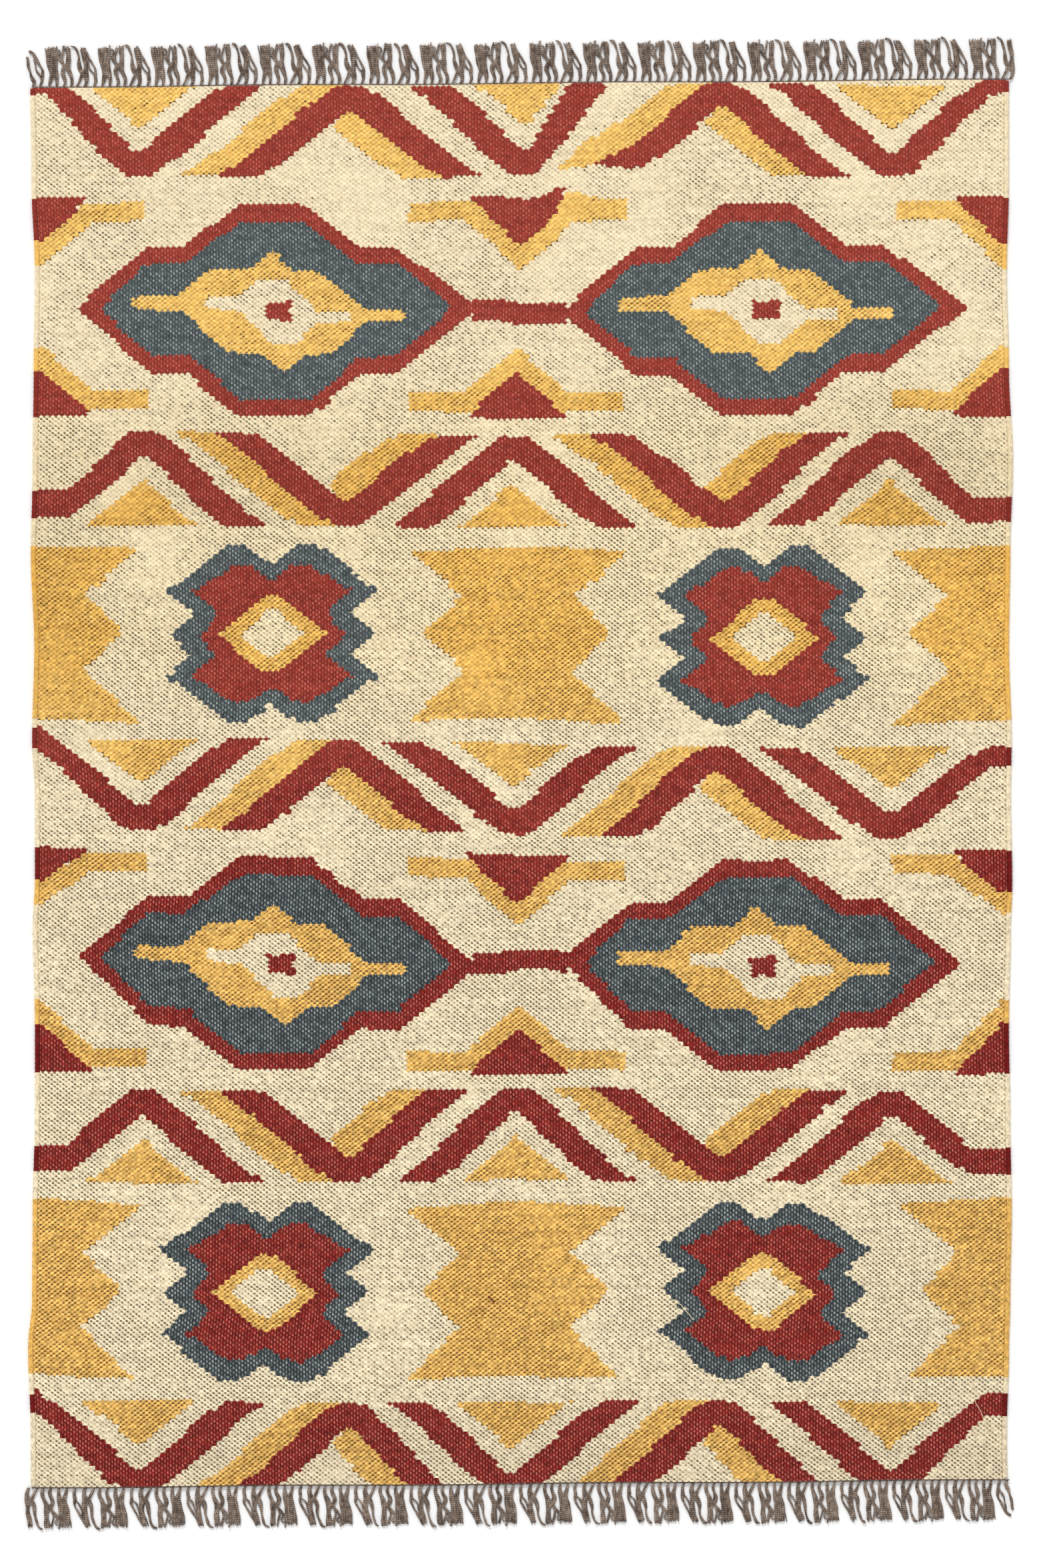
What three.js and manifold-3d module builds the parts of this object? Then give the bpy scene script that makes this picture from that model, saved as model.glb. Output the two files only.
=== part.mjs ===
// A flat-woven kilim rug with a knotted warp fringe at both ends, laid on the floor.
// Millimetres, +Z up, +Y towards the far end. The origin is on the floor, under the rug's middle.

import * as THREE from "three";
import { mergeVertices } from "three/addons/utils/BufferGeometryUtils.js";
import Module from "manifold-3d";

// Driving sizes of the woven cloth.
const CLOTH_WIDTH = 1600;
const CLOTH_LENGTH = 2288;
const CLOTH_THICKNESS = 7;
const EDGE_ROUND = 1.8; // the rim is rounded by this much, above and below
const EDGE_STEPS = 1;
const CORNER_ROUND = 4;
const CORNER_STEPS = 2;

// The loom was a little out of square, so the right side lies this much further away than the left.
const END_SKEW = 13;
const END_BOW = 0.8; // the far and near edges waver by this much
const END_WAVES = 3; // full waves across the width
const END_STEPS = 24;

// How far each side stands out from the nominal width at a place along the length.
// Between two rows a side runs in a smooth wave. The rows go from the far end to the near one.
const SIDE_ROWS = [
  { y: 1144, left: 1.5, right: -1.5 },
  { y: 985, left: -0.5, right: -1.5 },
  { y: 833, left: -6, right: -5 },
  { y: 680, left: -4, right: -1.5 },
  { y: 528, left: -2.5, right: 5 },
  { y: 375, left: 0.5, right: 0.5 },
  { y: 222, left: -5, right: -1.5 },
  { y: 70, left: -1.5, right: 3 },
  { y: -20, left: -6, right: 1.5 },
  { y: -160, left: -6, right: 4 },
  { y: -235, left: -2.5, right: 1.5 },
  { y: -388, left: -6, right: -1.5 },
  { y: -541, left: -6, right: 0.5 },
  { y: -694, left: -2.5, right: 3 },
  { y: -846, left: -1.5, right: 0.5 },
  { y: -923, left: 5, right: -1.5 },
  { y: -1075, left: 0.5, right: -5 },
  { y: -1144, left: 0.5, right: -4 },
];
const SIDE_STEPS = 2; // straight stretches between two rows

// The warp ends leave the cloth through a thin twined cord, parted from its edge by a hair.
const CORD_GAP = 0.3;
const CORD_WIDTH = 2.4;
const CORD_HEIGHT = 5;
const CORD_STEPS = 24;

// The fringe hangs in groups of seven locks. The group's width grows from one end to the other.
const GROUP_COUNT = 18;
const FIRST_GROUP_X = -777;
const FIRST_GROUP_PITCH = 85;
const LAST_GROUP_PITCH = 89.8;
const CHART_PITCH = 89.4; // the width of the group that the chart below was drawn for
const LOCK_ROOT_DEPTH = 1.2; // a root starts this far inside the cord
const LOCK_HEIGHT = 4;
const LOCK_TOP_SHARE = 0.55; // a lock's flat top is this share of its width
const TIP_HEIGHT_SHARE = 0.6;

// One group of locks: places across the group, out from the cord, and the lock's width there.
const LOCK_CHART = {
  straight_left: [
    { across: 4, out: 0, width: 2.2 },
    { across: 6.8, out: 8, width: 5.2 },
    { across: 8.4, out: 22, width: 7.8 },
    { across: 3.9, out: 67, width: 8.6 },
  ],
  straight_right: [
    { across: 17.2, out: 0, width: 2.2 },
    { across: 20.4, out: 8, width: 5.2 },
    { across: 17, out: 22, width: 7.6 },
    { across: 12.8, out: 69.5, width: 7.8 },
  ],
  bent_left: [
    { across: 28.6, out: 0, width: 2.2 },
    { across: 33.4, out: 9, width: 4.6 },
    { across: 28.6, out: 26, width: 7.8 },
    { across: 26, out: 40, width: 4.2 },
    { across: 21.8, out: 63, width: 4 },
  ],
  bent_right: [
    { across: 40.6, out: 0, width: 2.2 },
    { across: 44.6, out: 9, width: 5 },
    { across: 38.6, out: 24, width: 7.4 },
    { across: 36, out: 40, width: 10 },
    { across: 35, out: 69.5, width: 11.4 },
  ],
  crossing_left: [
    { across: 51.2, out: 0, width: 2.2 },
    { across: 56.6, out: 12, width: 4.6 },
    { across: 55.4, out: 30, width: 6.6 },
    { across: 53, out: 48, width: 2.6 },
    { across: 49.6, out: 62, width: 3.6 },
    { across: 44.2, out: 69, width: 2.6 },
  ],
  crossing_right: [
    { across: 65.4, out: 0, width: 6.6 },
    { across: 67.2, out: 9, width: 8 },
    { across: 63.8, out: 25, width: 7.4 },
    { across: 60.2, out: 68, width: 9 },
  ],
  looped: [
    { across: 80.6, out: 0, width: 2.2 },
    { across: 84.2, out: 10, width: 5.2 },
    { across: 85, out: 26, width: 4.6 },
    { across: 76.4, out: 46, width: 4.6 },
    { across: 67.2, out: 65, width: 2.4 },
  ],
};

// The first two locks stand alone before the first group, thin and a little shorter.
// Their places count from the start of the first group, so those before it are below zero.
const LOOSE_CHART = [
  [
    { across: -17, out: 0, width: 2.2 },
    { across: -19.5, out: 9, width: 5.4 },
    { across: -24, out: 26, width: 4 },
    { across: -28.6, out: 44, width: 3.4 },
    { across: -28.8, out: 57, width: 3 },
  ],
  [
    { across: -5.5, out: 0, width: 2.2 },
    { across: -3, out: 12, width: 4.6 },
    { across: -3.4, out: 28, width: 4.6 },
    { across: -12, out: 45, width: 4.4 },
    { across: -22, out: 58, width: 5 },
  ],
];
const LAST_GROUP_LEAVES_OUT = "looped"; // the cloth ends before this lock of the last group

// Every group differs a little from the next: its tips sway and reach unequally.
const TIP_SWAY = 0.25;
const TIP_REACH = 1.2;
const SWAY_STEP = 2.4; // radians from one group to the next

const CLOTH_COLOUR = 0xd2b184;
const FRINGE_COLOUR = 0x6f5f55;
const CLOTH_ROUGHNESS = 0.95;
const FRINGE_ROUGHNESS = 0.9;

const HALF_WIDTH = CLOTH_WIDTH / 2;
const HALF_LENGTH = CLOTH_LENGTH / 2;

const wasm = await Module();
wasm.setup();

// The far edge of the cloth. The near edge is the same line turned half round.
function farEdgeY(x) {
  const across = x / HALF_WIDTH;
  const skew = (END_SKEW / 2) * across;
  return HALF_LENGTH + skew + END_BOW * Math.sin(END_WAVES * Math.PI * across);
}

// The waver of one side at a place along the length, eased from row to row.
function sideWaver(side, y) {
  const first = SIDE_ROWS[0];
  if (y >= first.y) return first[side];
  for (let i = 1; i < SIDE_ROWS.length; i++) {
    const above = SIDE_ROWS[i - 1];
    const below = SIDE_ROWS[i];
    if (y < below.y) continue;
    const share = (above.y - y) / (above.y - below.y);
    const eased = (1 - Math.cos(Math.PI * share)) / 2;
    return above[side] + (below[side] - above[side]) * eased;
  }
  return SIDE_ROWS[SIDE_ROWS.length - 1][side];
}

// Places along a side between the rows, from the far end to the near one.
function sidePlaces() {
  const places = [];
  for (let i = 1; i < SIDE_ROWS.length; i++) {
    const above = SIDE_ROWS[i - 1].y;
    const below = SIDE_ROWS[i].y;
    for (let k = 0; k < SIDE_STEPS; k++) {
      places.push(above + ((below - above) * k) / SIDE_STEPS);
    }
  }
  return places.slice(1);
}

// The four corners of the cloth, where its ends meet its sides.
function corner(sideSign, endSign) {
  const side = sideSign > 0 ? "right" : "left";
  const x = sideSign * (HALF_WIDTH + sideWaver(side, endSign * HALF_LENGTH));
  return new THREE.Vector2(x, endSign * farEdgeY(endSign * x));
}

// A rounded corner from a point on the end to a point on the side, or the other way.
function cornerArc(at, fromSign, toSign, startsOnEnd) {
  const alongX = new THREE.Vector2(at.x - fromSign * CORNER_ROUND, at.y);
  const alongY = new THREE.Vector2(at.x, at.y - toSign * CORNER_ROUND);
  const start = startsOnEnd ? alongX : alongY;
  const finish = startsOnEnd ? alongY : alongX;
  return new THREE.QuadraticBezierCurve(start, at, finish).getPoints(CORNER_STEPS);
}

// The outline of the cloth, anticlockwise from the near right corner.
function clothOutline() {
  const points = [];
  const places = sidePlaces();
  const inside = HALF_WIDTH - 2 * CORNER_ROUND;

  points.push(...cornerArc(corner(1, -1), 1, -1, true));
  for (const y of places.slice().reverse()) {
    points.push(new THREE.Vector2(HALF_WIDTH + sideWaver("right", y), y));
  }
  points.push(...cornerArc(corner(1, 1), 1, 1, false));
  for (let k = 1; k < END_STEPS; k++) {
    const x = inside - (2 * inside * k) / END_STEPS;
    points.push(new THREE.Vector2(x, farEdgeY(x)));
  }
  points.push(...cornerArc(corner(-1, 1), -1, 1, true));
  for (const y of places) {
    points.push(new THREE.Vector2(-HALF_WIDTH - sideWaver("left", y), y));
  }
  points.push(...cornerArc(corner(-1, -1), -1, -1, false));
  for (let k = 1; k < END_STEPS; k++) {
    const x = -inside + (2 * inside * k) / END_STEPS;
    points.push(new THREE.Vector2(x, -farEdgeY(-x)));
  }
  return points;
}

function clothGeometry() {
  const geometry = new THREE.ExtrudeGeometry(new THREE.Shape(clothOutline()), {
    depth: CLOTH_THICKNESS - 2 * EDGE_ROUND,
    bevelEnabled: true,
    bevelThickness: EDGE_ROUND,
    bevelSize: EDGE_ROUND,
    bevelOffset: -EDGE_ROUND,
    bevelSegments: EDGE_STEPS,
  });
  geometry.translate(0, 0, EDGE_ROUND);
  return geometry;
}

// A closed body swept through rings of equally many points, capped at both ends.
function sweptGeometry(rings) {
  const sides = rings[0].length;
  const positions = rings.flat().flatMap((point) => [point.x, point.y, point.z]);
  const index = [];
  for (let r = 0; r + 1 < rings.length; r++) {
    for (let s = 0; s < sides; s++) {
      const a = r * sides + s;
      const b = r * sides + ((s + 1) % sides);
      index.push(a, b + sides, b, a, a + sides, b + sides);
    }
  }
  const last = (rings.length - 1) * sides;
  for (let s = 1; s + 1 < sides; s++) {
    index.push(0, s, s + 1);
    index.push(last, last + s + 1, last + s);
  }
  const geometry = new THREE.BufferGeometry();
  geometry.setAttribute("position", new THREE.Float32BufferAttribute(positions, 3));
  geometry.setIndex(index);
  return geometry;
}

// A section that lies flat on the floor: a wide foot and a narrower flat top.
function lyingSection(centre, normal, width, height, topShare) {
  const at = (offset, z) =>
    new THREE.Vector3(centre.x + normal.x * offset, centre.y + normal.y * offset, z);
  const foot = width / 2;
  const top = foot * topShare;
  return [at(-foot, 0), at(foot, 0), at(top, height), at(-top, height)];
}

// The normals of a flat path, each square to the line between its neighbours.
function pathNormals(points) {
  return points.map((point, i) => {
    const before = points[Math.max(i - 1, 0)];
    const after = points[Math.min(i + 1, points.length - 1)];
    const along = new THREE.Vector2(after.x - before.x, after.y - before.y).normalize();
    return new THREE.Vector2(along.y, -along.x);
  });
}

// The twined cord along the far edge, a hair away from the cloth.
function cordGeometry() {
  const middle = CORD_GAP + CORD_WIDTH / 2;
  const rings = [];
  for (let k = 0; k <= CORD_STEPS; k++) {
    const x = -HALF_WIDTH + (CLOTH_WIDTH * k) / CORD_STEPS;
    const centre = new THREE.Vector2(x, farEdgeY(x) + middle);
    const square = new THREE.Vector2(0, -1);
    rings.push(lyingSection(centre, square, CORD_WIDTH, CORD_HEIGHT, 1));
  }
  return sweptGeometry(rings);
}

// One lock of the fringe, which rests level on the floor from its root to its tip.
function lockGeometry(rows, startX, stretch, sway) {
  const rootOut = CORD_GAP + CORD_WIDTH - LOCK_ROOT_DEPTH;
  const longest = rows[rows.length - 1].out;
  const points = rows.map((row) => {
    const share = row.out / longest;
    const x = startX + (row.across + TIP_SWAY * sway * share) * stretch;
    const out = row.out + TIP_REACH * sway * share * share;
    return new THREE.Vector2(x, farEdgeY(x) + rootOut + out);
  });
  const normals = pathNormals(points);
  normals[0].set(1, 0);
  const rings = rows.map((row, i) => {
    const isTip = i === rows.length - 1;
    const height = isTip ? LOCK_HEIGHT * TIP_HEIGHT_SHARE : LOCK_HEIGHT;
    return lyingSection(points[i], normals[i], row.width, height, LOCK_TOP_SHARE);
  });
  return sweptGeometry(rings);
}

// All locks of one fringe: the two loose ones, then group after group.
function lockGeometries() {
  const locks = LOOSE_CHART.map((rows) => lockGeometry(rows, FIRST_GROUP_X, 1, 0));
  let startX = FIRST_GROUP_X;
  for (let g = 0; g < GROUP_COUNT; g++) {
    const isLast = g === GROUP_COUNT - 1;
    const share = Math.min(g / (GROUP_COUNT / 3), 1);
    const pitch = FIRST_GROUP_PITCH + (LAST_GROUP_PITCH - FIRST_GROUP_PITCH) * share;
    const sway = Math.sin(SWAY_STEP * g);
    for (const [name, rows] of Object.entries(LOCK_CHART)) {
      if (isLast && name === LAST_GROUP_LEAVES_OUT) continue;
      locks.push(lockGeometry(rows, startX, pitch / CHART_PITCH, sway));
    }
    startX += pitch;
  }
  return locks;
}

function solidOf(geometry) {
  const bare = geometry.clone();
  bare.deleteAttribute("normal");
  bare.deleteAttribute("uv");
  const merged = mergeVertices(bare, 1e-3);
  return new wasm.Manifold(
    new wasm.Mesh({
      numProp: 3,
      vertProperties: merged.attributes.position.array,
      triVerts: new Uint32Array(merged.index.array),
    }),
  );
}

function geometryOf(solid) {
  const mesh = solid.getMesh();
  const geometry = new THREE.BufferGeometry();
  geometry.setAttribute("position", new THREE.BufferAttribute(mesh.vertProperties, 3));
  geometry.setIndex(new THREE.BufferAttribute(mesh.triVerts, 1));
  geometry.computeVertexNormals();
  return geometry;
}

// The cord with every lock grown out of it, as one body.
function fringeGeometry() {
  let solid = solidOf(cordGeometry());
  for (const lock of lockGeometries()) {
    solid = solid.add(solidOf(lock));
  }
  return geometryOf(solid);
}

function namedMesh(name, geometry, colour, roughness) {
  const material = new THREE.MeshStandardMaterial({ color: colour, roughness, metalness: 0 });
  const mesh = new THREE.Mesh(geometry, material);
  mesh.name = name;
  return mesh;
}

const cloth = namedMesh("woven_cloth", clothGeometry(), CLOTH_COLOUR, CLOTH_ROUGHNESS);
const farFringe = namedMesh("fringe_far", fringeGeometry(), FRINGE_COLOUR, FRINGE_ROUGHNESS);
const nearFringe = namedMesh("fringe_near", farFringe.geometry.clone(), FRINGE_COLOUR, FRINGE_ROUGHNESS);
nearFringe.rotation.z = Math.PI;

const rug = new THREE.Group();
rug.add(cloth, farFringe, nearFringe);

export default rug;
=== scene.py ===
import math

import bpy
import numpy as np
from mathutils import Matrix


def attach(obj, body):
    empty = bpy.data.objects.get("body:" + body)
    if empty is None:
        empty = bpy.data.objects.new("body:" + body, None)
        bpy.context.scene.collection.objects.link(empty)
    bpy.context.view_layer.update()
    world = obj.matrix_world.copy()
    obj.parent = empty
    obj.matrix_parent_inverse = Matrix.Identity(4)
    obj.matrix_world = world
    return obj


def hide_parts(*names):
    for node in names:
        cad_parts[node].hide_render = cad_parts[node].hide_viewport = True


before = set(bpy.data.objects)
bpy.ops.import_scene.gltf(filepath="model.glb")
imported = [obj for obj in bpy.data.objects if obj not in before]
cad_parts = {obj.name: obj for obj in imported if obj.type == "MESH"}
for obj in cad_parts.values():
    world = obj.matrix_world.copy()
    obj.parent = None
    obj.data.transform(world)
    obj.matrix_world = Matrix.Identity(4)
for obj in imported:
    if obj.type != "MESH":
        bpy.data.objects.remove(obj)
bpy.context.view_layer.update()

# Sizes of the rug in metres, the same as in the part's source.
CLOTH_WIDTH = 1.600
CLOTH_LENGTH = 2.288
END_SKEW = 0.013
END_BOW = 0.0008
END_WAVES = 3
CORD_GAP = 0.0003
CORD_WIDTH = 0.0024
HALF_WIDTH = CLOTH_WIDTH / 2
HALF_LENGTH = CLOTH_LENGTH / 2
MM = 0.001

# How far each side stands out beyond half the width, in millimetres, from the far end to the near one.
SIDE_COLUMNS = ("y", "left", "right")
SIDE_ROWS = (
    (1144, 1.5, -1.5), (985, -0.5, -1.5), (833, -6, -5), (680, -4, -1.5), (528, -2.5, 5),
    (375, 0.5, 0.5), (222, -5, -1.5), (70, -1.5, 3), (-20, -6, 1.5), (-160, -6, 4),
    (-235, -2.5, 1.5), (-388, -6, -1.5), (-541, -6, 0.5), (-694, -2.5, 3), (-846, -1.5, 0.5),
    (-923, 5, -1.5), (-1075, 0.5, -5), (-1144, 0.5, -4),
)

# The weave: one bead is a weft over one warp, and a gap is a warp over one weft.
WARPS = 330
PICKS = 608
SELVEDGE_WIDTH = 0.009
SELVEDGE_LAP = 0.0009
BEAD_TOP = 0.0069
GAP_TOP = 0.0054
WEFT_FOOT = 0.0045
# A gap this strong is drawn as a deep hole in painted shadow.
SHADOWED_HOLE = 1.15
MOST_GAP = 0.97
DARK_SPECK_SHARE = 0.012
TURN_STRAY = 0.0006
LOWER_TOOTH = 0.80
UPPER_TOOTH = 0.58
TOOTH_IN = 0.18
BEAD_SWAY = 0.0004
GAP_SWAY = 0.0003
BEAD_RISE = 0.0002
BEAD_LEAN_X = 0.60
BEAD_LEAN_Y = 0.92

CREAM, GOLD, RED, SLATE = range(4)


# Outline of the cloth

def far_edge_y(x):
    """The far end's edge at x."""
    share = np.asarray(x) / HALF_WIDTH
    return HALF_LENGTH + END_SKEW / 2 * share + END_BOW * np.sin(END_WAVES * math.pi * share)


def near_edge_y(x):
    """The near end's edge, which is the far one turned half round."""
    return -far_edge_y(-np.asarray(x))


def stand_out(y, column):
    """How far the side in that column stands out at y, eased between the rows of the table."""
    rows = np.array(sorted(SIDE_ROWS)) * MM
    places, values = rows[:, 0], rows[:, SIDE_COLUMNS.index(column)]
    y = np.clip(y, places[0], places[-1])
    below = np.clip(np.searchsorted(places, y) - 1, 0, len(places) - 2)
    share = (y - places[below]) / (places[below + 1] - places[below])
    eased = (1 - np.cos(math.pi * share)) / 2
    return values[below] + (values[below + 1] - values[below]) * eased


def cloth_point(across, along, inset):
    """Where a point of the cloth lies, from its shares of the width and the length."""
    level = (2 * across - 1) * HALF_WIDTH
    y = near_edge_y(level) + (far_edge_y(level) - near_edge_y(level)) * along
    left = -HALF_WIDTH - stand_out(y, "left") + inset
    right = HALF_WIDTH + stand_out(y, "right") - inset
    return left + (right - left) * across, y


# The pattern, in millimetres from the rug's middle

CHEVRON_ARM = 63
CHEVRON_TIP = 16
CHEVRON_INSIDE = 46
CHEVRON_FLAT = 8
CHEVRON_EDGE_THIN = 15
CHEVRON_OVERRUN = 30
STRIPE_WIDTH = 57
STRIPE_WIDENING = 7
FILL_WIDTH = 62
FILL_CORNER = (29, 22)
PEAK_GAP = 32
PEAK_SHARE = 0.46
ARM_EASE = 0.32

# Zigzag bands. Points is which way the first chevron points, lean how far the right side lies lower,
# and turns where the outermost arms turn level towards the two sides.
BAND_COLUMNS = ("top", "bottom", "points", "lean", "turns", "middles", "reaches")
BAND_ROWS = (
    (1144, 993, "down", 0, (-778, 775), (-626, -278, 6, 330, 609),
     ((195, 209), (219, 216), (190, 140), (213, 208), (204, 199))),
    (572, 420, "up", 0, (-735, 738), (-617, -288, -15, 332, 607),
     ((204, 199), (212, 215), (202, 208), (222, 210), (211, 204))),
    (65, -83, "down", 20, (-793, 770), (-622, -290, -13, 322, 607),
     ((204, 208), (202, 204), (216, 205), (198, 213), (218, 222))),
    (-500, -651, "up", 0, (-742, 738), (-618, -285, -6, 329, 609),
     ((212, 199), (210, 205), (202, 195), (214, 213), (205, 212))),
    (-1011, -1165, "down", 2, (-798, 757), (-625, -277, -13, 328, 607),
     ((211, 213), (213, 178), (203, 216), (202, 192), (203, 190))),
)

# Right of the middle at the far end, one gold stripe is wider than the others, with a blunt tip.
WIDE_STRIPE = ((86, 1012), (86, 1036), (183, 1094), (280, 1142), (300, 1112), (131, 1013))

# Eye medallions and hooks between them. A medallion's outlines go round from its left tip by the top.
MEDALLION_COLUMNS = ("x", "y", "tilt")
MEDALLION_ROWS = ((-395, 774, 0.015), (400, 774, 0.015), (-393, -293, -0.026), (394, -295, 0.014))
MEDALLION = (
    (RED, ((-329, 8), (-211, 103), (-152, 104), (-62, 173), (44, 173), (131, 104), (190, 104),
           (325, 0), (194, -106), (132, -107), (48, -172), (-68, -172), (-152, -106), (-209, -105))),
    (SLATE, ((-291, 4), (-216, 76), (-154, 77), (-60, 143), (46, 144), (129, 77), (190, 76),
             (283, 2), (190, -77), (130, -79), (51, -145), (-64, -145), (-148, -76), (-208, -75))),
    (GOLD, ((-237, 23), (-164, 23), (-115, 64), (-52, 68), (-10, 101), (25, 67), (73, 63),
            (149, 0), (208, 0), (208, -18), (148, -20), (87, -71), (51, -73), (9, -104),
            (-27, -71), (-86, -70), (-159, -3), (-237, 2))),
    (CREAM, ((-121, 20), (-66, 22), (-31, 50), (13, 51), (66, 0), (117, -1), (117, -18),
             (66, -20), (30, -56), (-8, -57), (-62, -3), (-121, 2))),
    (RED, ((-20, 14), (0, 12), (22, 17), (25, 8), (19, 0), (25, -12), (20, -17), (-2, -14), (-19, -16),
           (-17, -2))),
)
LINK_LINES = (777, -297)
LINK_HALF_HEIGHT = 17
LINK_HALF_LENGTH = 78
# Hooks: the line that they stand on, their middle, which way they point, how much they rise to the right,
# and how much deeper their middle is than that of the others.
HOOK_COLUMNS = ("line", "middle", "inward", "rise", "deeper")
HOOK_ROWS = (
    (945, -787, -1, 0.03, -4), (952, -3, -1, 0, 0), (952, 790, -1, 0, 7),
    (610, -787, 1, 0, 0), (610, -5, 1, 0, 4), (611, 790, 1, 0, 8),
    (-110, -787, -1, 0, -20), (-126, -7, -1, 0, 4), (-119, 790, -1, 0, -7),
    (-463, -787, 1, 0, 8), (-470, -3, 1, 0, 0), (-466, 790, 1, 0, 10),
)
HOOK_POINT_WIDTH = 10
HOOK_RED = ((-84, -9), (84, -9), (0, 66))
HOOK_GOLD = ((-180, 0), (-74, 0), (0, 65), (74, 0), (175, 0), (175, 30), (84, 31), (2, 104),
             (-84, 31), (-180, 30))

# Stepped crosses with bow ties between them. A cross's outlines are its right half, from the top.
CROSS_MIDDLES = ((-405, 241), (396, 238), (-416, -832), (396, -833))
CROSS = (
    (SLATE, ((0, 115), (26, 134), (46, 147), (70, 146), (92, 132), (158, 82), (175, 76), (162, 66), (130, 38),
             (130, 32), (168, 3), (129, -30), (162, -60), (174, -66), (160, -73), (94, -128), (68, -144),
             (44, -143), (24, -131), (0, -113))),
    (RED, ((0, 91), (24, 108), (42, 116), (62, 113), (133, 73), (92, 37), (92, 30), (118, 3),
           (118, -2), (92, -32), (133, -67), (76, -104), (58, -112), (38, -110), (22, -102), (0, -88))),
    (GOLD, ((0, 64), (14, 62), (90, 1), (18, -60), (0, -61))),
    (CREAM, ((0, 40), (10, 39), (56, 1), (10, -38), (0, -39))),
)
# Bow ties: where they stand, how much longer each is at its top and foot, and the right half of one.
BOW_COLUMNS = ("x", "y", "top", "foot")
BOW_ROWS = (
    (-801, 243, 0, 0), (-3, 243, 0, 0), (788, 241, 0, 6),
    (-805, -832, 6, 0), (-10, -833, 0, 0), (806, -830, 7, 0),
)
BOW = ((181, 139), (88, 66), (152, 4), (87, -57), (175, -142))
BOW_BULGE = 7

# Where the rows sag, or rise where the value is below zero: how much, place and reach.
SAG_ROWS = (
    (8, (38, 800), (60, 150)), (-11, (22, -294), (55, 50)), (-13, (80, 965), (38, 24)),
    (5, (14, 945), (35, 30)), (-18, (125, 1012), (85, 40)),
)


def mirrored(half):
    """A whole outline from its right half."""
    return tuple(half) + tuple((-x, y) for x, y in reversed(half) if x != 0)


def placed(shape, middle):
    return [(x + middle[0], y + middle[1]) for x, y in shape]


def chevron_shapes(band, index):
    """Colours and outlines of one chevron of a band, with the gold that goes with it."""
    up = (band["points"] == "up") == (index % 2 == 0)
    tip_line, open_line = (band["top"], band["bottom"]) if up else (band["bottom"], band["top"])
    toward = 1 if open_line > tip_line else -1
    height = abs(open_line - tip_line)
    middle = band["middles"][index]
    left, right = band["reaches"][index]
    over = 1 + CHEVRON_OVERRUN / height
    far = tip_line + toward * height * over
    inner_y = tip_line + toward * CHEVRON_INSIDE
    inner_share = (height * over - CHEVRON_INSIDE) / (height - CHEVRON_INSIDE)
    outer_left = middle - CHEVRON_TIP - (left - CHEVRON_EDGE_THIN - CHEVRON_TIP) * over
    outer_right = middle + CHEVRON_TIP + (right - CHEVRON_EDGE_THIN - CHEVRON_TIP) * over
    inner_left = middle - (left - CHEVRON_ARM) * inner_share
    inner_right = middle + (right - CHEVRON_ARM) * inner_share
    at_edge = (index == 0, index == len(band["middles"]) - 1)
    shapes = []
    if index % 2:
        shapes.append((GOLD, [
            (middle - CHEVRON_TIP - STRIPE_WIDTH, tip_line),
            (middle - CHEVRON_TIP, tip_line),
            (middle - left, open_line),
            (middle - left - STRIPE_WIDTH - STRIPE_WIDENING, open_line),
        ]))
        shapes.append((GOLD, [
            (middle + CHEVRON_FLAT, inner_y),
            (middle - CHEVRON_FLAT, inner_y),
            (middle - FILL_CORNER[0], inner_y + toward * FILL_CORNER[1]),
            (middle + right - CHEVRON_ARM - FILL_WIDTH, open_line),
            (middle + right - CHEVRON_ARM, open_line),
        ]))
    else:
        shapes.append((GOLD, [
            (middle, inner_y + toward * PEAK_GAP),
            (middle - left * PEAK_SHARE, open_line),
            (middle + right * PEAK_SHARE, open_line),
        ]))
    left_end = (outer_left, inner_left, far) if at_edge[0] else (
        middle - left, middle - left + CHEVRON_ARM, open_line)
    right_end = (outer_right, inner_right, far) if at_edge[1] else (
        middle + right, middle + right - CHEVRON_ARM, open_line)
    shapes.append((RED, [
        (left_end[0], left_end[2]), (middle - CHEVRON_TIP, tip_line),
        (middle + CHEVRON_TIP, tip_line), (right_end[0], right_end[2]),
        (right_end[1], right_end[2]), (middle + CHEVRON_FLAT, inner_y),
        (middle - CHEVRON_FLAT, inner_y), (left_end[1], left_end[2]),
    ]))
    return shapes


def eased_rows(y, band):
    """Rows of a zigzag band as if its arms were straight, because woven arms turn softly at their ends."""
    height = band["top"] - band["bottom"]
    straight = np.linspace(0, 1, 101)
    woven = (1 - ARM_EASE) * straight + ARM_EASE * (1 - np.cos(math.pi * straight)) / 2
    share = (y - band["bottom"]) / height
    within = (share > 0) & (share < 1)
    return np.where(within, band["bottom"] + height * np.interp(share, woven, straight), y)


def inside(x, y, outline):
    """Which of the points lie inside a closed outline."""
    found = np.zeros(x.shape, bool)
    corners = np.array(outline, float)
    for (ax, ay), (bx, by) in zip(corners, np.roll(corners, -1, 0)):
        if ay == by:
            continue
        crosses = (ay > y) != (by > y)
        found ^= crosses & (x < ax + (y - ay) * (bx - ax) / (by - ay))
    return found


def paint(yarn, x, y, colour, outline):
    """Gives the points inside an outline that colour."""
    corners = np.array(outline, float)
    low, high = corners.min(0), corners.max(0)
    near = np.flatnonzero((x >= low[0]) & (x <= high[0]) & (y >= low[1]) & (y <= high[1]))
    yarn[near[inside(x[near], y[near], outline)]] = colour


def hump(x, y, place, reach):
    """A smooth hump, 1 high, about a place."""
    return np.exp(-((x - place[0]) / reach[0]) ** 2 - ((y - place[1]) / reach[1]) ** 2)


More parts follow.
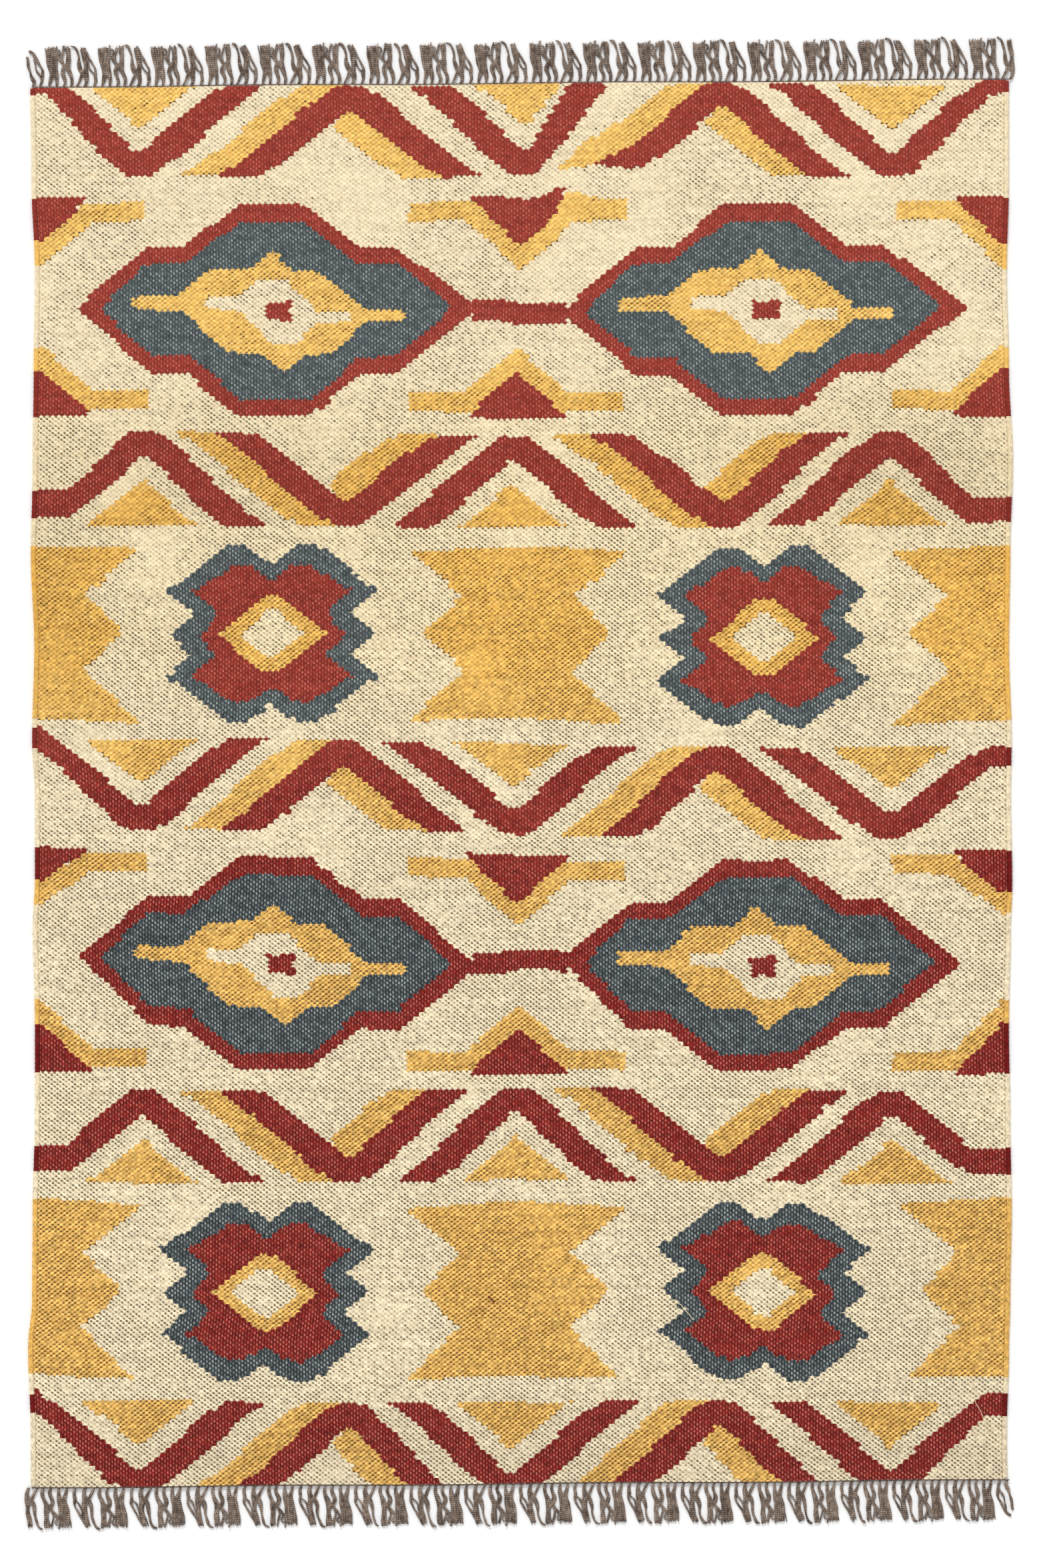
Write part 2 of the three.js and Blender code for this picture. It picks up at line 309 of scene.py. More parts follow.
def yarn_at(x, y):
    """The colour of the weft at points of the cloth, given in metres."""
    x = x / MM
    y = y / MM
    yarn = np.full(x.shape, CREAM)
    # A hand-woven row rises and falls a little, and a motif drifts a little sideways.
    row = y + 2.5 * np.sin(x / 170 + y / 330) + 1.5 * np.sin(x / 61 - y / 140)
    for depth, place, reach in SAG_ROWS:
        row = row + depth * hump(x, y, place, reach)
    column = x + 2.2 * np.sin(y / 95 + x / 400) + 1.6 * np.sin(y / 31 + x / 120)
    paint(yarn, x, y, GOLD, WIDE_STRIPE)
    for values in BAND_ROWS:
        band = dict(zip(BAND_COLUMNS, values))
        leaned = eased_rows(row + band["lean"] * column / CLOTH_WIDTH * MM, band)
        held = np.clip(column, *band["turns"])
        for index in range(len(band["middles"])):
            for colour, outline in chevron_shapes(band, index):
                paint(yarn, held if colour == RED else column, leaned, colour, outline)
    for values in MEDALLION_ROWS:
        place = dict(zip(MEDALLION_COLUMNS, values))
        tilted = row - place["tilt"] * (column - place["x"])
        for colour, outline in MEDALLION:
            paint(yarn, column, tilted, colour, placed(outline, (place["x"], place["y"])))
    for line in LINK_LINES:
        link = ((-LINK_HALF_LENGTH, LINK_HALF_HEIGHT), (LINK_HALF_LENGTH, LINK_HALF_HEIGHT),
                (LINK_HALF_LENGTH, -LINK_HALF_HEIGHT), (-LINK_HALF_LENGTH, -LINK_HALF_HEIGHT))
        paint(yarn, column, row, RED, placed(link, (0, line)))
    for values in HOOK_ROWS:
        hook = dict(zip(HOOK_COLUMNS, values))
        for colour, outline in ((GOLD, HOOK_GOLD), (RED, HOOK_RED)):
            turned = []
            for across, depth in outline:
                if abs(across) < HOOK_POINT_WIDTH:
                    depth += hook["deeper"]
                turned.append((across, hook["rise"] * across + hook["inward"] * depth))
            paint(yarn, column, row, colour, placed(turned, (hook["middle"], hook["line"])))
    for middle in CROSS_MIDDLES:
        for colour, half in CROSS:
            paint(yarn, column, row, colour, placed(mirrored(half), middle))
    for values in BOW_ROWS:
        bow = dict(zip(BOW_COLUMNS, values))
        (top_x, top_y), (foot_x, foot_y) = BOW[0], BOW[-1]
        top_y += bow["top"]
        foot_y -= bow["foot"]
        half = ((0, top_y + BOW_BULGE), (top_x, top_y), *BOW[1:-1], (foot_x, foot_y), (0, foot_y + BOW_BULGE))
        paint(yarn, column, row, GOLD, placed(mirrored(half), (bow["x"], bow["y"])))
    return yarn


# Where the cloth is lighter or darker than the rest of its yarn: place and reach in millimetres, and how
# much.
TONE_SHIFT_ROWS = (
    (-800, 243, 130, 190, -0.11), (800, -833, 200, 170, -0.06), (-560, 500, 420, 110, -0.09),
    (640, 500, 330, 110, -0.11), (0, -1120, 1600, 100, -0.10), (760, -1120, 200, 100, -0.04),
)


def tone_shift_at(x, y):
    """How much lighter the cloth is at points given in metres."""
    tone_shift = np.zeros(np.shape(x))
    for place_x, place_y, reach_x, reach_y, lighter in TONE_SHIFT_ROWS:
        tone_shift += lighter * hump(x / MM, y / MM, (place_x, place_y), (reach_x, reach_y))
    return tone_shift


# Making meshes from arrays

def mesh_from_faces(name, points, faces):
    """A mesh object from points and arrays of faces, each array with faces of one size."""
    corners = np.concatenate([f.ravel() for f in faces]).astype(np.int32)
    sizes = np.concatenate([np.full(len(f), f.shape[1]) for f in faces])
    starts = np.concatenate(([0], np.cumsum(sizes)[:-1])).astype(np.int32)
    mesh = bpy.data.meshes.new(name)
    mesh.vertices.add(len(points))
    mesh.vertices.foreach_set("co", np.asarray(points, np.float32).ravel())
    mesh.loops.add(len(corners))
    mesh.loops.foreach_set("vertex_index", corners)
    mesh.polygons.add(len(sizes))
    mesh.polygons.foreach_set("loop_start", starts)
    mesh.update(calc_edges=True)
    piece = bpy.data.objects.new(name, mesh)
    bpy.context.scene.collection.objects.link(piece)
    return piece


def read_values(items, name, width=1):
    """One property of all the items of a mesh, as an array with that many numbers for each."""
    values = np.empty(len(items) * width, np.int32 if width == 1 else np.float32)
    items.foreach_get(name, values)
    return values if width == 1 else values.reshape(-1, width)


def set_values(mesh, name, domain, values):
    """Gives a mesh an attribute with one value for each corner, face or point."""
    layer = mesh.attributes.new(name, "FLOAT", domain)
    layer.data.foreach_set("value", np.asarray(values, np.float32))


BAKE_SPAN = (1.70, 2.55)
BAKE_CORNER = 0.02


def plan_uv(piece, shown):
    """Lays the shown faces out in plan, and the rest small in one corner."""
    mesh = piece.data
    corners = read_values(mesh.loops, "vertex_index")
    points = read_values(mesh.vertices, "co", 3)
    places = points[corners][:, :2] / np.array(BAKE_SPAN) + 0.5
    totals = read_values(mesh.polygons, "loop_total")
    places[~np.repeat(shown, totals)] *= BAKE_CORNER
    layer = mesh.uv_layers.new(name="OFBake")
    layer.data.foreach_set("uv", places.astype(np.float32).ravel())


# Materials

PLY_PITCH = 0.0034


def linear(red, green, blue):
    """A colour in scene values from its 0 to 255 display values."""
    def one(value):
        share = value / 255
        return share / 12.92 if share <= 0.04045 else ((share + 0.055) / 1.055) ** 2.4
    return (one(red), one(green), one(blue), 1)


class Nodes:
    """Short ways to add and link nodes in one material."""

    def __init__(self, name):
        self.material = bpy.data.materials.new(name)
        self.material.use_nodes = True
        self.tree = self.material.node_tree
        self.tree.nodes.clear()

    def add(self, kind, settings=None, **inputs):
        made = self.tree.nodes.new(kind)
        for key, value in (settings or {}).items():
            setattr(made, key, value)
        for key, value in inputs.items():
            socket = made.inputs[int(key[1:])] if key[0] == "i" and key[1:].isdigit() else made.inputs[key]
            self.put(socket, value)
        return made

    def put(self, socket, value):
        if isinstance(value, bpy.types.NodeSocket):
            self.tree.links.new(value, socket)
        else:
            socket.default_value = value

    def math(self, operation, first, second=0.5, clamp=False):
        made = self.add("ShaderNodeMath", {"operation": operation, "use_clamp": clamp}, i0=first, i1=second)
        return made.outputs[0]

    def span(self, value, low, high, to_low=0.0, to_high=1.0, kind="LINEAR"):
        made = self.add("ShaderNodeMapRange", {"interpolation_type": kind}, i0=value)
        for key, number in (("From Min", low), ("From Max", high), ("To Min", to_low), ("To Max", to_high)):
            made.inputs[key].default_value = number
        return made.outputs[0]

    def mix(self, share, first, second, blend="MIX"):
        made = self.add("ShaderNodeMix", {"data_type": "RGBA", "blend_type": blend})
        self.put(made.inputs[0], share)
        self.put(made.inputs[6], first)
        self.put(made.inputs[7], second)
        return made.outputs[2]

    def value_of(self, name):
        return self.add("ShaderNodeAttribute", {"attribute_name": name}).outputs["Fac"]

    def noise(self, scale, stretch=(1, 1, 1), detail=2.0, roughness=0.5):
        coordinates = self.add("ShaderNodeTexCoord").outputs["Object"]
        mapped = self.add("ShaderNodeMapping", None, Vector=coordinates, Scale=stretch)
        made = self.add("ShaderNodeTexNoise", None, Vector=mapped.outputs[0], Scale=scale,
                        Detail=detail, Roughness=roughness)
        return made.outputs[0]

    def grey(self, value):
        made = self.add("ShaderNodeCombineColor", None, Red=value, Green=value, Blue=value)
        return made.outputs[0]

    def finish(self, colour, roughness, height, distance):
        bump = self.add("ShaderNodeBump", None, Strength=0.6, Distance=distance, Height=height)
        shader = self.add("ShaderNodeBsdfPrincipled")
        self.put(shader.inputs["Base Color"], colour)
        self.put(shader.inputs["Roughness"], roughness)
        self.put(shader.inputs["Normal"], bump.outputs[0])
        shader.inputs["Specular IOR Level"].default_value = 0.15
        shader.inputs["Sheen Weight"].default_value = 0.12
        shader.inputs["Sheen Roughness"].default_value = 0.5
        output = self.add("ShaderNodeOutputMaterial")
        self.tree.links.new(shader.outputs[0], output.inputs["Surface"])
        return self.material


# Each weft yarn: its colour in the far part, the middle and the near part; its pale colour, used for its pale
# lots and for the painted highlight on bead tops, and its dark lots; the colour in a gap, which is the warp
# showing through, darkened by painted shade on cream and gold and lightened by a painted highlight on red and
# slate; the painted shadow in deep holes;
# how unlike its beads are; how strong its flecks are; how strong the painted highlight on a bead's top is;
# and how wide, tall and slanted the spot in a gap is.
YARN_COLUMNS = ("far", "middle", "near", "pale_and_highlight", "dark", "gap", "shadow", "tone", "heather", "top_highlight",
                "wide", "tall", "slant")
YARNS = {
    "cream": ((249, 231, 194), (252, 232, 190), (248, 231, 195), (252, 240, 214), (222, 201, 160),
              (64, 50, 30), (92, 66, 40), 0.06, 0.10, 0.30, 0.69, 0.75, -0.35),
    "gold": ((249, 200, 105), (244, 189, 89), (238, 187, 97), (255, 226, 152), (208, 148, 60),
             (92, 52, 14), (84, 52, 18), 0.12, 0.14, 0.55, 0.80, 0.72, 0.25),
    "red": ((147, 51, 40), (137, 42, 31), (112, 12, 9), (168, 68, 58), (98, 20, 15),
            (214, 122, 106), (50, 8, 8), 0.12, 0.28, 0.15, 0.44, 0.95, -0.15),
    "slate": ((67, 76, 78), (64, 71, 72), (43, 50, 54), (98, 112, 116), (38, 47, 51),
              (176, 183, 180), (18, 22, 24), 0.16, 0.30, 0.20, 0.48, 0.95, -0.15),
}


def yarn_colour(nodes, yarn):
    """The colour of one yarn over the whole cloth, before its gaps."""
    values = dict(zip(YARN_COLUMNS, YARNS[yarn]))
    coordinates = nodes.add("ShaderNodeTexCoord").outputs["Object"]
    lengthwise = nodes.add("ShaderNodeSeparateXYZ", None, Vector=coordinates).outputs[1]
    cloud = nodes.noise(3.0, detail=3.0)
    wandering = nodes.math("ADD", lengthwise, nodes.math("MULTIPLY", nodes.math("SUBTRACT", cloud, 0.5), 0.9))
    farther = nodes.span(wandering, -0.25, 0.45, kind="SMOOTHSTEP")
    base = nodes.mix(farther, linear(*values["near"]), linear(*values["far"]))
    from_middle = nodes.math("ABSOLUTE", nodes.math("SUBTRACT", lengthwise, 0.39))
    base = nodes.mix(nodes.span(from_middle, 0.34, 0.14, kind="SMOOTHSTEP"), base, linear(*values["middle"]))
    blotch = nodes.noise(40.0, detail=4.0, roughness=0.7)
    base = nodes.mix(nodes.span(blotch, 0.50, 0.80, 0.0, 0.30), base, linear(*values["pale_and_highlight"]))
    streak = nodes.noise(30.0, stretch=(0.25, 6.0, 1.0), detail=2.0)
    base = nodes.mix(nodes.span(streak, 0.52, 0.95, 0.0, 0.80), base, linear(*values["dark"]))
    return base, values


def thread_material(name, yarns, chosen=None):
    """A weft's material: slow drift of its dye, streaks along the picks, beads of unlike tone with a painted
    highlight on their tops, and gaps, which show the warp with painted shade, painted highlight and painted
    shadow.
    """
    nodes = Nodes(name)
    base, values = yarn_colour(nodes, yarns[0])
    # The colour in a gap: the warp in painted shade for cream and gold, and under a painted highlight for red
    # and slate.
    gap_warp_painted_light = linear(*values["gap"])
    for index, yarn in enumerate(yarns[1:], 1):
        other, other_values = yarn_colour(nodes, yarn)
        is_it = nodes.math("COMPARE", nodes.value_of(chosen), float(index))
        is_it.node.inputs[2].default_value = 0.1
        base = nodes.mix(is_it, base, other)
        gap_warp_painted_light = nodes.mix(is_it, gap_warp_painted_light, linear(*other_values["gap"]))
    tone = values["tone"] if len(yarns) == 1 else 0.12
    heather = values["heather"] if len(yarns) == 1 else 0.2
    fleck = nodes.noise(250.0, stretch=(1.7, 0.85, 1.0), detail=3.0, roughness=0.6)
    fleck = nodes.span(fleck, 0.34, 0.68, 1 - heather, 1 + heather)
    bead = nodes.span(nodes.value_of("bead"), 0, 1, 1 - tone, 1 + tone)
    pick = nodes.span(nodes.value_of("pick"), 0, 1, 0.965, 1.035)
    fibre = nodes.noise(260.0, stretch=(0.5, 3.0, 1.0), detail=4.0, roughness=0.65)
    hair = nodes.span(fibre, 0.25, 0.75, 0.92, 1.08)
    tone_shift = nodes.math("ADD", nodes.value_of("tone_shift"), 1.0)
    shade = nodes.math("MULTIPLY", nodes.math("MULTIPLY", bead, pick), nodes.math("MULTIPLY", hair, fleck))
    # The grain of the yarn shows more in the near half.
    coordinates = nodes.add("ShaderNodeTexCoord").outputs["Object"]
    lengthwise = nodes.add("ShaderNodeSeparateXYZ", None, Vector=coordinates).outputs[1]
    grain = nodes.span(lengthwise, -0.5, 0.7, 1.7, 1.0)
    shade = nodes.math("ADD", nodes.math("MULTIPLY", nodes.math("SUBTRACT", shade, 1.0), grain), 1.0)
    # Painted highlight: the top of each bead is mixed towards the yarn's pale colour.
    top_highlight = nodes.span(nodes.value_of("top_highlight"), 0.30, 0.95, 0.0, values["top_highlight"], "SMOOTHSTEP")
    colour = nodes.mix(top_highlight, base, linear(*values["pale_and_highlight"]))
    colour = nodes.mix(1.0, colour, nodes.grey(nodes.math("MULTIPLY", shade, tone_shift)), "MULTIPLY")
    # A gap is a soft slanted spot about the point between four beads: the warp showing through, in painted
    # shade on cream and gold and under a painted highlight on red and slate.
    to_x, to_y = nodes.value_of("gap_x"), nodes.value_of("gap_y")
    hole = nodes.value_of("hole")
    quarter = nodes.math("MULTIPLY", nodes.value_of("quarter"), 2 * values["slant"])

    def square_distance(across, along):
        across = nodes.math("DIVIDE", across, values["wide"])
        along = nodes.math("DIVIDE", along, values["tall"])
        square = nodes.math("ADD", nodes.math("POWER", across, 2.0), nodes.math("POWER", along, 2.0))
        lean = nodes.math("MULTIPLY", nodes.math("MULTIPLY", across, along), quarter)
        return nodes.math("MAXIMUM", nodes.math("ADD", square, lean), 0.0)

    beside = square_distance(nodes.math("SUBTRACT", 1.0, to_x), to_y)
    before = square_distance(to_x, nodes.math("SUBTRACT", 1.0, to_y))
    distance = nodes.math("SQRT", nodes.math("MINIMUM", beside, before))
    ragged = nodes.math("ADD", distance, nodes.math("MULTIPLY", nodes.math("SUBTRACT", fibre, 0.5), 0.30))
    spot = nodes.math("MULTIPLY", nodes.span(ragged, 1.0, 0.15, 0.0, 1.0, "SMOOTHSTEP"), hole)
    share = nodes.math("MINIMUM", spot, 1.0)
    # Strong holes go from the gap's colour to the yarn's painted shadow colour.
    painted_shadow_share = nodes.span(hole, 0.98, 1.22, 0.0, 1.0)
    colour = nodes.mix(share, colour, nodes.mix(painted_shadow_share, gap_warp_painted_light, linear(*values["shadow"])))
    roughness = nodes.span(fibre, 0.2, 0.8, 0.82, 0.97)
    return nodes.finish(colour, roughness, fibre, 0.0006)


def warp_material(name, pale_and_highlight, middle, dark):
    """Dull twisted warp yarn: two plies that wind round each other, with a painted highlight where they stand
    up and painted shade in the hollows between them.
    """
    nodes = Nodes(name)
    strand = nodes.value_of("bead")
    base = nodes.mix(nodes.span(strand, 0, 1), linear(*dark), linear(*middle))
    turn = nodes.math("MULTIPLY", nodes.value_of("along"), 2 * math.pi / PLY_PITCH)
    ply = nodes.math("ADD", nodes.math("MULTIPLY", nodes.value_of("ply_x"), nodes.math("COSINE", turn)),
                     nodes.math("MULTIPLY", nodes.value_of("ply_y"), nodes.math("SINE", turn)))
    fluff = nodes.noise(520.0, detail=3.0, roughness=0.6)
    ply = nodes.math("ADD", nodes.math("MULTIPLY", ply, 0.55), nodes.math("SUBTRACT", fluff, 0.5))
    clump = nodes.noise(140.0, detail=2.0)
    ply = nodes.math("ADD", ply, nodes.math("MULTIPLY", nodes.math("SUBTRACT", clump, 0.5), 2.2))
    # Painted highlight: where the plies and clumps stand up, the yarn is mixed towards its pale colour.
    base = nodes.mix(nodes.span(ply, 0.0, 0.8), base, linear(*pale_and_highlight))
    # Painted shade: the hollows between the plies are darkened.
    shade = nodes.span(ply, -0.8, 0.1, 0.50, 1.0)
    colour = nodes.mix(1.0, base, nodes.grey(shade), "MULTIPLY")
    return nodes.finish(colour, nodes.span(fluff, 0.2, 0.8, 0.8, 0.95), ply, 0.0008)


# The weave, as beads of weft

# How strong the spot in a gap of each yarn is, which shows the warp in painted shade on cream and gold and
# under a painted highlight on red and slate: least, most, and a power that makes the strong ones few.
GAP_CHART = {
    CREAM: (0.22, 1.45, 1.1), GOLD: (0.25, 1.45, 1.2), RED: (0.22, 1.3, 1.5), SLATE: (0.22, 1.3, 1.5),
}

rng = np.random.default_rng(7)
columns, rows = np.meshgrid(np.arange(WARPS + 1), np.arange(PICKS + 1))
lattice_x, lattice_y = cloth_point(columns / WARPS, rows / PICKS, SELVEDGE_WIDTH - SELVEDGE_LAP)
is_bead = (columns + rows) % 2 == 0
inner = (columns > 0) & (columns < WARPS) & (rows > 0) & (rows < PICKS)
# Each pair of picks ends a little to one side of where the pattern has it.
stray = (TURN_STRAY * rng.uniform(-1, 1, PICKS // 2 + 1))[rows // 2]
yarn = yarn_at((lattice_x + stray).ravel(), lattice_y.ravel()).reshape(columns.shape)
sway = np.where(is_bead, BEAD_SWAY, GAP_SWAY) * inner
lattice_x = lattice_x + sway * rng.uniform(-1, 1, columns.shape)
lattice_y = lattice_y + sway * rng.uniform(-1, 1, columns.shape)
swell = 0.00025 * np.sin(columns / 23 + rows / 61) * np.sin(columns / 41 - rows / 17)
lattice_z = np.where(is_bead, BEAD_TOP, GAP_TOP) + swell + BEAD_RISE * rng.uniform(-1, 1, columns.shape)
gap_strength = np.zeros(columns.shape)
gap_luck = rng.random(columns.shape)
for colour, (least, most, power) in GAP_CHART.items():
    gap_strength = np.where(yarn == colour, least + (most - least) * gap_luck ** power, gap_strength)


def drift(across, along, seed):
    """A slow random wave over the lattice, from 0 to 1."""
    draw = np.random.default_rng(seed)
    wave = np.zeros(columns.shape)
    for step in range(8):
        angle = draw.uniform(0, 2 * math.pi)
        size = draw.uniform(0.5, 1.6)
        wave += np.sin(columns / across / size * math.cos(angle) + rows / along / size * math.sin(angle)
                       + draw.uniform(0, 2 * math.pi))
    return np.clip(0.5 + wave / 6, 0, 1)


clusters = 0.30 + 0.65 * drift(14, 18, 3) + 0.45 * drift(3.5, 4.5, 4)
nearer = np.interp(lattice_y, (-1.1, -0.6, 0, 0.5, 0.75, 1.15), (1.6, 1.55, 1.25, 1.1, 0.76, 0.62))
gap_strength *= np.where((yarn == CREAM) | (yarn == GOLD), clusters * nearer, 0.55 + 0.35 * nearer)
gap_strength = np.minimum(gap_strength, MOST_GAP)
# A few gaps at random get the same painted shadow, as dark specks.
gap_strength[rng.random(columns.shape) < DARK_SPECK_SHARE * drift(9, 9, 5)] = SHADOWED_HOLE

# Where two colours meet along a slant, every second turn of the darker weft stands out as a tooth.
# The ranks say which weft is the darker: cream, gold, red, slate.
RANKS = np.array([0, 1, 2, 2.5])
rank = np.pad(RANKS[yarn], 1, mode="edge")
left_rank, right_rank = rank[1:-1, :-2], rank[1:-1, 2:]
below_rank, above_rank = rank[:-2, 1:-1], rank[2:, 1:-1]
across_step = left_rank - right_rank
along_step = below_rank - above_rank
slanted = ~is_bead & inner & (across_step != 0) & (along_step != 0)
tooth = np.where(along_step < 0, LOWER_TOOTH, UPPER_TOOTH) * rng.uniform(0.75, 1.1, columns.shape)
tooth = np.where(rows % 2 == 0, tooth, -TOOTH_IN) * slanted
lattice_x = lattice_x + tooth * np.sign(across_step) * CLOTH_WIDTH / WARPS
lattice_y = lattice_y + tooth * np.sign(along_step) * CLOTH_LENGTH / PICKS
gap_strength = np.where(slanted, np.minimum(gap_strength, 0.5), gap_strength)
# Gaps under the lower edge of a darker weft get painted shadow, as if lit from the far end.
shaded_lower_edge = ~is_bead & (along_step < 0) & (rng.random(columns.shape) < 0.45)
gap_strength = np.where(shaded_lower_edge, SHADOWED_HOLE, gap_strength)
bead_tone = rng.random(columns.shape)
pick_tone = np.repeat(rng.random(PICKS + 1)[:, None], WARPS + 1, 1)

top_points = np.stack([lattice_x, lattice_y, lattice_z], -1).reshape(-1, 3)
foot_points = top_points.copy()
foot_points[:, 2] = WEFT_FOOT
all_points = np.concatenate([top_points, foot_points])
POINT_COUNT = len(top_points)

# Steps from a bead to its four gaps, in turn round it, with the lean of the weft there.
STEPS = ((1, 0), (0, 1), (-1, 0), (0, -1))
LEANS = tuple((dx * BEAD_LEAN_X, dy * BEAD_LEAN_Y, 1.0) for dx, dy in STEPS)


def lattice_index(column, row):
    return row * (WARPS + 1) + column


def weft_piece(name, part_of, part):
    """The wefts of one piece: a bead over each warp, walls where another yarn begins, and a flat foot."""
    row, column = np.nonzero(is_bead & (part_of == part))
    apex = lattice_index(column, row)
    triangles, leans, gap_x, gap_y, hole, owners, quarters, walls = [], [], [], [], [], [], [], []
    foot = np.repeat(apex[:, None], 4, 1)
    exists = []
    for dx, dy in STEPS:
        exists.append((column + dx >= 0) & (column + dx <= WARPS) & (row + dy >= 0) & (row + dy <= PICKS))
    for turn, (dx, dy) in enumerate(STEPS):
        corner = lattice_index(column + dx, row + dy)
        foot[exists[turn], 3 - turn] = corner[exists[turn]]
        after = (turn + 1) % 4
        ex, ey = STEPS[after]
        both = exists[turn] & exists[after]
        a = corner[both]
        b = lattice_index(column + ex, row + ey)[both]
        o = apex[both]
        triangles.append(np.stack([o, a, b], -1))
        leans.append(np.tile([(0.0, 0.0, 1.0), LEANS[turn], LEANS[after]], (len(o), 1)))
        strength_a, strength_b = gap_strength.ravel()[a], gap_strength.ravel()[b]
        hole.append(np.stack([(strength_a + strength_b) / 2, strength_a, strength_b], -1))
        first_is_x = float(dy == 0)
        gap_x.append(np.tile([0.0, first_is_x, 1 - first_is_x], (len(o), 1)))
        gap_y.append(np.tile([0.0, 1 - first_is_x, first_is_x], (len(o), 1)))
        owners.append(o)
        quarters.append(np.full(len(o), float((dx + ex) * (dy + ey))))
        neighbour = lattice_index(column + dx + ex, row + dy + ey)[both]
        other = part_of.ravel()[neighbour] != part
        walls.append(np.stack([b[other], a[other]], -1))
        # On the cloth's own edge a bead is cut in half, and its cut is a wall too.
        for here, there in ((turn, after), (after, turn)):
            cut = exists[here] & ~exists[there]
            hx, hy = STEPS[here]
            side = lattice_index(column + hx, row + hy)[cut]
            ends = (apex[cut], side) if here == turn else (side, apex[cut])
            walls.append(np.stack(ends, -1))
    triangles = np.concatenate(triangles)
    walls = np.concatenate(walls)
    # A wall runs the other way along its edge than the top does, so that it faces outwards.
    wall_start, wall_end = walls.T
    wall_faces = np.stack([wall_start, wall_end, wall_end + POINT_COUNT, wall_start + POINT_COUNT], -1)
    full = np.array([len(set(f)) == 4 for f in foot.tolist()])
    foot_faces = foot[full] + POINT_COUNT
    corner_faces = np.array([list(dict.fromkeys(f)) for f in foot[~full].tolist()], int).reshape(-1, 3)
    faces = [triangles, wall_faces, foot_faces]
    if len(corner_faces):
        faces.append(corner_faces + POINT_COUNT)
    used = np.unique(np.concatenate([f.ravel() for f in faces]))
    renumber = np.full(len(all_points), -1)
    renumber[used] = np.arange(len(used))
    piece = mesh_from_faces(name, all_points[used], [renumber[f] for f in faces])
    mesh = piece.data
    across = all_points[wall_start] - all_points[wall_end]
    outward = np.stack([across[:, 1], -across[:, 0], np.zeros(len(across))], -1)
    outward /= np.linalg.norm(outward, axis=1)[:, None]
    rest = sum(f.size for f in faces[2:])
    normals = np.concatenate([
        np.concatenate(leans),
        np.repeat(outward, 4, 0),
        np.tile((0.0, 0.0, -1.0), (rest, 1)),
    ])
    normals /= np.linalg.norm(normals, axis=1)[:, None]
    mesh.polygons.foreach_set("use_smooth", np.ones(len(mesh.polygons), bool))
    mesh.normals_split_custom_set(normals.tolist())
    corner_count, face_count = len(mesh.loops), len(mesh.polygons)

    def padded(values, length):
        return np.concatenate([values, np.zeros(length - len(values))])

    owner = np.concatenate(owners)
    set_values(mesh, "gap_x", "CORNER", padded(np.concatenate(gap_x).ravel(), corner_count))
    set_values(mesh, "gap_y", "CORNER", padded(np.concatenate(gap_y).ravel(), corner_count))
    set_values(mesh, "hole", "CORNER", padded(np.concatenate(hole).ravel(), corner_count))
    # Where a bead's painted highlight is strongest: 1 at its top, 0 at its gaps.
    set_values(mesh, "top_highlight", "CORNER", padded(np.tile([1.0, 0.0, 0.0], len(owner)), corner_count))
    set_values(mesh, "quarter", "FACE", padded(np.concatenate(quarters), face_count))
    set_values(mesh, "tone_shift", "FACE", padded(tone_shift_at(all_points[owner, 0], all_points[owner, 1]), face_count))
    set_values(mesh, "bead", "FACE", padded(bead_tone.ravel()[owner], face_count))
    set_values(mesh, "pick", "FACE", padded(pick_tone.ravel()[owner], face_count))
    plan_uv(piece, np.arange(face_count) < len(triangles))
    return piece


part_of = yarn + np.where((yarn == CREAM) & (rows < PICKS // 2), 10, 0)
WEFTS = (
    ("weft_cream_far", CREAM, "cream"), ("weft_cream_near", CREAM + 10, "cream"),
    ("weft_gold", GOLD, "gold"), ("weft_red", RED, "red"), ("weft_slate", SLATE, "slate"),
)
weft_materials = {kind: thread_material("weft_" + kind, [kind]) for kind in YARNS}
mixed_material = thread_material("kilim_weave", list(YARNS), "yarn")
for name, part, yarn_name in WEFTS:
    piece = weft_piece(name, part_of, part)
    piece.data.materials.append(weft_materials[yarn_name])
    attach(piece, "root")


# The ground under the wefts: warps and the cloth's back, which shows the same pattern

GROUND_SWELL = 0.0012
GROUND_INSET = 0.004
BACK_WARPS = 150
BACK_PICKS = 276


def select_only(piece):
    bpy.ops.object.select_all(action="DESELECT")
    piece.select_set(True)
    bpy.context.view_layer.objects.active = piece


bpy.ops.object.select_all(action="DESELECT")
bpy.ops.mesh.primitive_grid_add(x_subdivisions=BACK_WARPS, y_subdivisions=BACK_PICKS, size=1)
ground = bpy.context.object
ground.name = "cloth_ground"
ground.data.name = "cloth_ground"
grid = read_values(ground.data.vertices, "co", 3)
back_x, back_y = cloth_point(grid[:, 0] + 0.5, grid[:, 1] + 0.5, GROUND_INSET)
grid = np.stack([back_x, back_y * (1 - GROUND_SWELL / HALF_LENGTH), np.zeros(len(back_x))], -1)
ground.data.vertices.foreach_set("co", grid.astype(np.float32).ravel())
select_only(ground)
bpy.ops.object.mode_set(mode="EDIT")
bpy.ops.mesh.select_all(action="SELECT")
bpy.ops.mesh.flip_normals()
bpy.ops.mesh.region_to_loop()
for rise, grow in ((0.0012, GROUND_SWELL), (0.0020, 0.0), (0.0014, -GROUND_SWELL)):
    bpy.ops.mesh.extrude_region_move(TRANSFORM_OT_translate={"value": (0, 0, rise)})
    if grow:
        bpy.ops.transform.resize(
            value=(1 + grow / HALF_WIDTH, 1 + grow / HALF_LENGTH, 1), center_override=(0, 0, 0))
bpy.ops.mesh.edge_face_add()
bpy.ops.object.mode_set(mode="OBJECT")
centres = read_values(ground.data.polygons, "center", 3)
